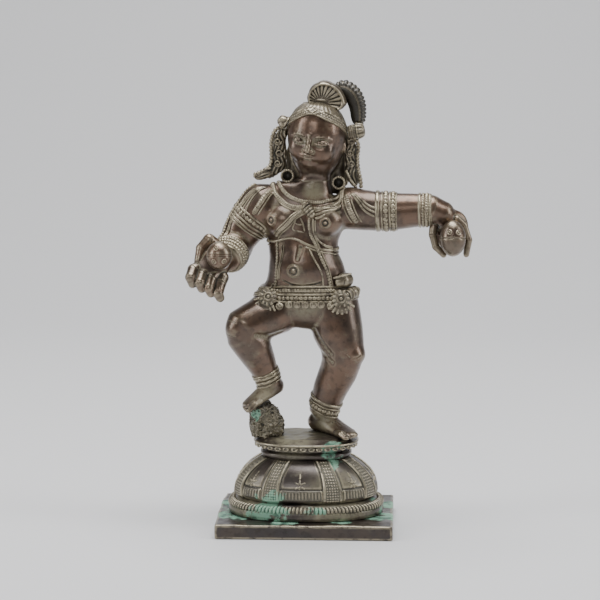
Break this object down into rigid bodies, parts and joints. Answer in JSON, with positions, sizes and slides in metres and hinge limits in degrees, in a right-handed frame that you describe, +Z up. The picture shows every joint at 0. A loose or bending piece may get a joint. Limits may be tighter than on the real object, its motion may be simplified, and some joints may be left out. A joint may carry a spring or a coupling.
{
  "type": "dancing figure statuette",
  "caption": "Small cast brass figure dancing on one foot on an oval lotus pedestal, the raised foot on a stump, a ball in each hand",
  "frame": {"origin": "centre of the base plate's flat underside", "axes": "+Z up, the figure faces -Y, +X is to the viewer's right seen from the front"},
  "size_m": [0.0956, 0.046, 0.1524],
  "materials": {
    "plate": "dark brown patina, worn edges, mint green verdigris on the top",
    "pedestal": "dark brown patina with grey sheen, green deposits in the hollows",
    "pedestal_trim": "khaki deposit in the cut lines, worn bright on the ridges",
    "rock": "rough granular cast surface with yellow-green deposit",
    "skin": "smooth handled dark brown patina with silvery sheen on high places",
    "hair": "combed lines with khaki deposit, worn bright on the ridges",
    "ornaments": "ribbed and beaded threads, khaki deposit between worn ridges",
    "balls": "smooth dark brown patina with cut grooves"
  },
  "bodies": {
    "root": {"base_plate": "plate", "ring_moulding": "pedestal", "ring_ribs": "pedestal_trim", "lotus_dome": "pedestal", "dome_border": "pedestal_trim", "dome_straps": "pedestal_trim", "dome_marks": "pedestal_trim", "drum_neck": "pedestal", "plinth_disc": "pedestal", "plinth_petals": "pedestal_trim", "support_rock": "rock", "pelvis": "skin", "torso": "skin", "neck": "skin", "head": "skin", "thigh_left": "skin", "shin_left": "skin", "foot_left": "skin", "thigh_right": "skin", "shin_right": "skin", "foot_right": "skin", "arm_right": "skin", "hand_right": "skin", "arm_left": "skin", "forearm_left": "skin", "hand_left": "skin", "ball_right": "balls", "ball_left": "balls", "hair_cap": "hair", "forehead_band": "ornaments", "crest_bun": "hair", "crest_plume": "hair", "ear_flower_left": "ornaments", "ear_flower_right": "ornaments", "hair_lock_left": "hair", "hair_lock_right": "hair", "hair_back": "hair", "ear_loops": "ornaments", "necklace": "ornaments", "chest_clasp": "ornaments", "cross_cords": "ornaments", "chest_band": "ornaments", "side_cords": "ornaments", "waist_knot": "ornaments", "girdle": "ornaments", "girdle_rosettes": "ornaments", "girdle_pendants": "ornaments", "shoulder_tassels": "ornaments", "shoulder_strands": "ornaments", "arm_cord": "ornaments", "armlet_right": "ornaments", "armlet_left": "ornaments", "bracelet_right": "ornaments", "bracelet_left": "ornaments", "anklet_right": "ornaments", "anklet_left": "ornaments"}
  },
  "joints": []
}
